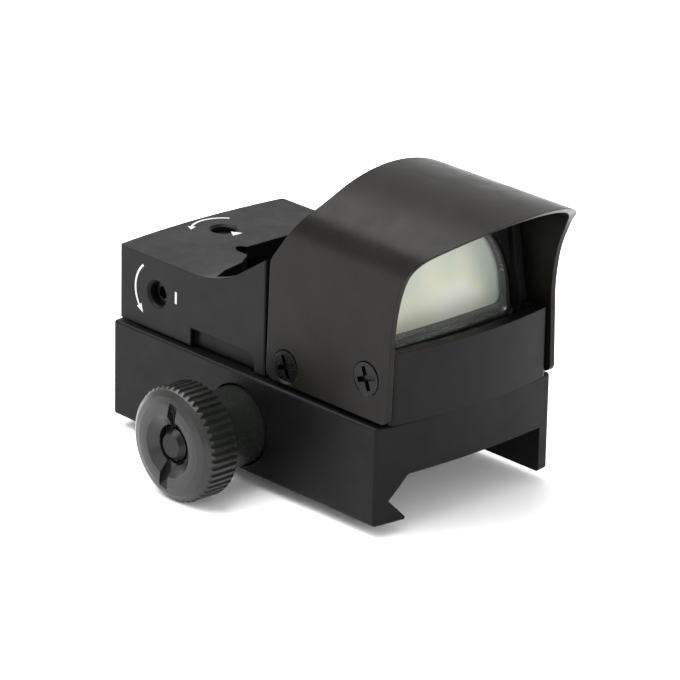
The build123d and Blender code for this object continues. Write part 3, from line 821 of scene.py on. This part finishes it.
@dataclass
class PaintedMark:
    """A thin painted shape on a flat face, drawn in that face's own two axes. Sizes are in mm."""

    name: str
    origin: Point
    across: Point
    up: Point
    proud: float = 0.02

    LINE_STEPS: ClassVar[int] = 28
    HEAD_WIDTH: ClassVar[float] = 1.7  # from the line's middle to each barb, as a share of the stroke
    HEAD_LEAN: ClassVar[float] = 0.12  # how far the head's tip leans inward

    def arrow(
        self, radius: float, start: float, end: float, stroke: float, head: float, finish: Finish
    ) -> bpy.types.Object:
        """Paints an arrow that curves anticlockwise about the mark's origin.

        Args:
            radius: radius of its line in mm.
            start: angle of its tail in degrees.
            end: angle at the base of its head.
            stroke: line width in mm.
            head: length of the head in mm.
            finish: the paint.

        Returns:
            The piece.
        """
        steps = [start + (end - start) * i / self.LINE_STEPS for i in range(self.LINE_STEPS + 1)]
        rays = [(math.cos(math.radians(angle)), math.sin(math.radians(angle))) for angle in steps]
        outer = [((radius + stroke / 2) * x, (radius + stroke / 2) * y) for x, y in rays]
        inner = [((radius - stroke / 2) * x, (radius - stroke / 2) * y) for x, y in rays]
        side = Vector(rays[-1])
        ahead = Vector((-side.y, side.x))
        middle = radius * side
        tip = middle + head * ahead - self.HEAD_LEAN * side
        wing = self.HEAD_WIDTH * stroke * side
        outline = outer + [tuple(middle + wing), tuple(tip), tuple(middle - wing)] + inner[::-1]
        return self.plate(outline, finish)

    def plate(self, outline: list[Flat], finish: Finish) -> bpy.types.Object:
        """Makes a thin plate from an anticlockwise outline in mm.

        Args:
            outline: its corners in the face's axes.
            finish: the paint.

        Returns:
            The piece.
        """
        origin, across, up = Vector(self.origin), Vector(self.across), Vector(self.up)
        normal = across.cross(up)
        count = len(outline)
        points = []
        for lift in (0.0, self.proud):
            points += [MM * (origin + x * across + y * up + lift * normal) for x, y in outline]
        faces = [tuple(range(count - 1, -1, -1)), tuple(range(count, 2 * count))]
        for i in range(count):
            j = (i + 1) % count
            faces.append((i, j, count + j, count + i))
        piece = solid(self.name, points, faces, finish)
        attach(piece, Body.SIGHT.value)
        return piece


@dataclass
class LensCoating:
    """The reflective coating on the front of the lens, inside its ground bevel.

    Sizes are in mm, and heights are in the lens's tilted plane, from the middle of its rim.
    """

    half_width: float = 9.5
    foot: float = 0.05
    arch: float = 2.5
    front: float = 1.2
    curve: float = 90.0
    curve_centre: float = 4.0
    tilt: float = 8.0
    rim: Point = (0.0, -20.4, 15.35)
    corner: float = 0.9
    rows: int = 48
    columns: int = 32
    underside: float = 0.004
    film: float = 0.02
    least_half: float = 0.02

    def half_at(self, v: float) -> float:
        """Half of the coating's width at a height.

        Args:
            v: height in the lens's plane.

        Returns:
            The half-width in mm.
        """
        if v > self.arch:
            return math.sqrt(max(self.half_width**2 - (v - self.arch) ** 2, 0.0))
        if v < self.foot + self.corner:
            inset = self.foot + self.corner - v
            return self.half_width - self.corner + math.sqrt(max(self.corner**2 - inset**2, 0.0))
        return self.half_width

    def point(self, x: float, v: float, lift: float) -> Vector:
        """A point just in front of the lens's face, in metres.

        Args:
            x: across the lens in mm.
            v: height in the lens's plane in mm.
            lift: how far it stands proud of the glass in mm.

        Returns:
            The point in the object's frame.
        """
        lean = math.radians(self.tilt)
        forward = Vector((0.0, -math.cos(lean), math.sin(lean)))
        up = Vector((0.0, math.sin(lean), math.cos(lean)))
        flat = x * x + (v - self.curve_centre) ** 2
        depth = self.front + self.curve - math.sqrt(self.curve**2 - flat) - lift
        return MM * (Vector(self.rim) + Vector((x, 0.0, 0.0)) + v * up - depth * forward)

    def layer(self, lift: float) -> list[Vector]:
        """One side of the film, row by row from its foot, with finer rows at both ends.

        Args:
            lift: how far it stands proud of the glass in mm.

        Returns:
            Its points.
        """
        reach = self.arch + self.half_width - self.foot
        points = []
        for row in range(self.rows + 1):
            v = self.foot + reach * (1 - math.cos(math.pi * row / self.rows)) / 2
            half = max(self.half_at(v), self.least_half)
            for column in range(self.columns + 1):
                points.append(self.point(half * (2 * column / self.columns - 1), v, lift))
        return points

    def faces(self) -> list[tuple[int, ...]]:
        """The faces of both sides and of the edge between them."""
        across = self.columns + 1
        layer = across * (self.rows + 1)
        faces: list[tuple[int, ...]] = []
        for row in range(self.rows):
            for column in range(self.columns):
                a = row * across + column
                b, d, e = a + 1, a + across, a + across + 1
                faces.append((layer + a, layer + b, layer + e, layer + d))
                faces.append((a, d, e, b))
        ring = list(range(across))
        ring += [row * across + self.columns for row in range(1, self.rows + 1)]
        ring += [self.rows * across + column for column in range(self.columns - 1, -1, -1)]
        ring += [row * across for row in range(self.rows - 1, 0, -1)]
        for a, b in zip(ring, ring[1:] + ring[:1]):
            faces.append((a, b, layer + b, layer + a))
        return faces

    def build(self, finish: Finish) -> bpy.types.Object:
        """Makes the coating as a closed film.

        Args:
            finish: its material.

        Returns:
            The piece.
        """
        points = self.layer(self.underside) + self.layer(self.film)
        piece = solid("lens_coating", points, self.faces(), finish)
        for face in piece.data.polygons:
            face.use_smooth = True
        return settle(piece)


@dataclass(frozen=True)
class Lamp:
    """A soft rectangular light. Places and sizes are in metres, power in watts."""

    name: str
    place: Point
    size: Flat
    power: float
    aim: Point = (0.0, 0.0, 0.01)

    def build(self) -> None:
        """Adds the light, facing its aim."""
        light = bpy.data.lights.new(self.name, "AREA")
        light.shape = "RECTANGLE"
        light.size, light.size_y = self.size
        light.energy = self.power
        holder = bpy.data.objects.new(self.name, light)
        way = Vector(self.place) - Vector(self.aim)
        holder.rotation_euler = way.to_track_quat("Z", "Y").to_euler()
        holder.location = self.place
        bpy.context.collection.objects.link(holder)


@dataclass
class Studio:
    """Pale floor, soft lights and the camera. Lengths are in metres, the lens in mm."""

    azimuth: float = -43.238
    elevation: float = 20.993
    roll: float = 1.237
    distance: float = 0.530
    focal: float = 237.58
    sensor: float = 36.0
    target: Point = (0.0001, -0.001717, 0.007612)
    near: float = 0.01
    far: float = 10.0
    sky: float = 1.1
    floor_shade: float = 0.95
    floor_roughness: float = 0.8
    floor_reach: float = 3.0
    below: float = 0.00002  # from the object's lowest point down to the floor

    LAMPS: ClassVar[tuple[Lamp, ...]] = (
        Lamp("top", (-0.12, 0.15, 0.50), (0.6, 0.6), 6.0),
        Lamp("left", (-0.45, 0.02, 0.20), (0.25, 0.25), 0.15),
        Lamp("front", (0.02, -0.50, 0.18), (0.25, 0.2), 1.0),
    )

    def axes(self) -> tuple[Vector, Vector, Vector]:
        """The camera's right, up and back directions."""
        a, e, r = (math.radians(v) for v in (self.azimuth, self.elevation, self.roll))
        back = Vector((math.sin(a) * math.cos(e), -math.cos(a) * math.cos(e), math.sin(e)))
        level = Vector((math.cos(a), math.sin(a), 0.0))
        rise = back.cross(level)
        right = math.cos(r) * level + math.sin(r) * rise
        return right, math.cos(r) * rise - math.sin(r) * level, back

    def camera(self) -> None:
        """Adds the camera."""
        right, up, back = self.axes()
        lens = bpy.data.cameras.new("camera")
        lens.sensor_width = self.sensor
        lens.lens = self.focal
        lens.clip_start = self.near
        lens.clip_end = self.far
        holder = bpy.data.objects.new("camera", lens)
        place = Matrix((right, up, back)).transposed().to_4x4()
        place.translation = Vector(self.target) + self.distance * back
        holder.matrix_world = place
        bpy.context.collection.objects.link(holder)
        bpy.context.scene.camera = holder

    def floor(self, level: float) -> None:
        """Lays the floor.

        Args:
            level: its height.
        """
        shader = Shader("floor_white")
        shade = self.floor_shade
        shader.set(Base_Color=(shade, shade, shade, 1.0), Roughness=self.floor_roughness)
        reach = self.floor_reach
        corners = [(x * reach, y * reach, level) for x, y in ((-1, -1), (1, -1), (1, 1), (-1, 1))]
        solid("floor", corners, [(0, 1, 2, 3)], shader.material)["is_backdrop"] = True

    def surroundings(self) -> None:
        """Sets the plain white light that comes from all round."""
        world = bpy.data.worlds.new("studio")
        world.use_nodes = True
        bpy.context.scene.world = world
        background = world.node_tree.nodes["Background"]
        background.inputs["Color"].default_value = (1.0, 1.0, 1.0, 1.0)
        background.inputs["Strength"].default_value = self.sky
        bpy.context.scene.view_settings.view_transform = "Standard"

    def build(self, lowest: float) -> None:
        """Sets everything up.

        Args:
            lowest: the height of the object's lowest point.
        """
        self.surroundings()
        self.floor(lowest - self.below)
        for lamp in self.LAMPS:
            lamp.build()
        self.camera()


def hood_screws() -> Fasteners:
    """The four cross-recess screws of the hood, level with its leaning sides."""
    foot_half, foot_z, taper, proud = 13.45, 7.0, 0.03, 0.04
    places = []
    for y, z in ((-20.4, 11.75), (-7.0, 9.15)):
        face = foot_half - taper * (z - foot_z) + proud
        for side in (-1.0, 1.0):
            places.append(((side * face, y, z), (side, 0.0, 0.0)))
    return Fasteners(
        name="cross_screws",
        replaced="hood_screws",
        drive=Drive.CROSS,
        places=places,
        head_radius=1.95,
        head_height=0.95,
        shank_radius=1.0,
        shank_length=1.9,
        recess=2.9,
        recess_depth=0.6,
        spin=0.35,
    )


def base_screws() -> Fasteners:
    """The three cap screws under the mount."""
    return Fasteners(
        name="cap_screws",
        replaced="base_screws",
        drive=Drive.HEX,
        places=[((x, y, 0.3), DOWN) for x, y in ((-7.5, 9.4), (7.5, 9.4), (0.0, -19.9))],
        head_radius=2.75,
        head_height=3.0,
        shank_radius=1.5,
        shank_length=7.6,
        recess=1.45,
        recess_depth=1.5,
    )


def springs() -> list[CoilSpring]:
    """The clamp's spring and the springs of the two adjusters."""
    clamp = CoilSpring(
        name="jaw_spring",
        replaced="clamp_spring",
        start=(2.62, 0.5, -0.15),
        way=Way.ACROSS,
        length=3.61,
        radius=2.45,
        wire=0.22,
        turns=4.5,
    )
    elevation = CoilSpring(
        name="elevation_coil",
        replaced="elevation_spring",
        start=(0.0, 19.1, 10.38),
        way=Way.UPWARD,
        length=2.89,
        radius=1.42,
        wire=0.13,
        turns=5.0,
        joint="elevation_slide",
        fixed=(0.0, 19.1, 13.27),
        keep=0.84,
    )
    windage = CoilSpring(
        name="windage_coil",
        replaced="windage_spring",
        start=(-10.02, 16.1, 11.4),
        way=Way.ACROSS,
        length=2.34,
        radius=1.42,
        wire=0.13,
        turns=4.0,
        joint="windage_slide",
        fixed=(-10.02, 16.1, 11.4),
        keep=0.8,
    )
    return [clamp, elevation, windage]


def painted_marks(paint: Finish) -> list[bpy.types.Object]:
    """Paints the two turn arrows and their plain marks.

    Args:
        paint: the paint.

    Returns:
        The pieces.
    """
    arrow_radius, stroke, arrowhead = 3.9, 0.29, 1.1
    deck, wall = 15.85, -13.1
    deck_arrow = PaintedMark("elevation_arrow", (0.0, 19.1, deck), RIGHT, BACK)
    wall_arrow = PaintedMark("windage_arrow", (wall, 16.1, 11.4), FRONT, UP)
    deck_mark = PaintedMark("elevation_mark", (0.0, 17.0, deck), RIGHT, BACK)
    wall_mark = PaintedMark("windage_mark", (wall, 12.3, 11.9), FRONT, UP)
    wedge = [(-0.75, -0.5), (0.75, -0.5), (0.0, 0.75)]
    bar = [(-0.55, -0.75), (-0.2, -0.75), (-0.2, 0.75), (-0.55, 0.75)]
    return [
        deck_arrow.arrow(arrow_radius, 38.0, 128.0, stroke, arrowhead, paint),
        wall_arrow.arrow(arrow_radius, 129.0, 214.0, stroke, arrowhead, paint),
        deck_mark.plate(wedge, paint),
        wall_mark.plate(bar, paint),
    ]


def main() -> None:
    logging.basicConfig(level=logging.INFO, format="%(message)s")
    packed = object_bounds()
    finishes = Finishes()
    LOG.info("dressed %d nodes", finishes.dress_nodes())
    pieces = [screws.build(finishes.made[Slot.BLACK_STEEL]) for screws in (hood_screws(), base_screws())]
    pieces += [spring.build(finishes.made[Slot.SPRING]) for spring in springs()]
    pieces.append(LensCoating().build(finishes.coat))
    pieces += painted_marks(finishes.paint)
    for piece in pieces:
        LOG.info("%s: %d faces", piece.name, len(piece.data.polygons))
    Studio().build(min(packed[0][2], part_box("clamp_knob")[0][2]))


if __name__ == "__main__":
    main()
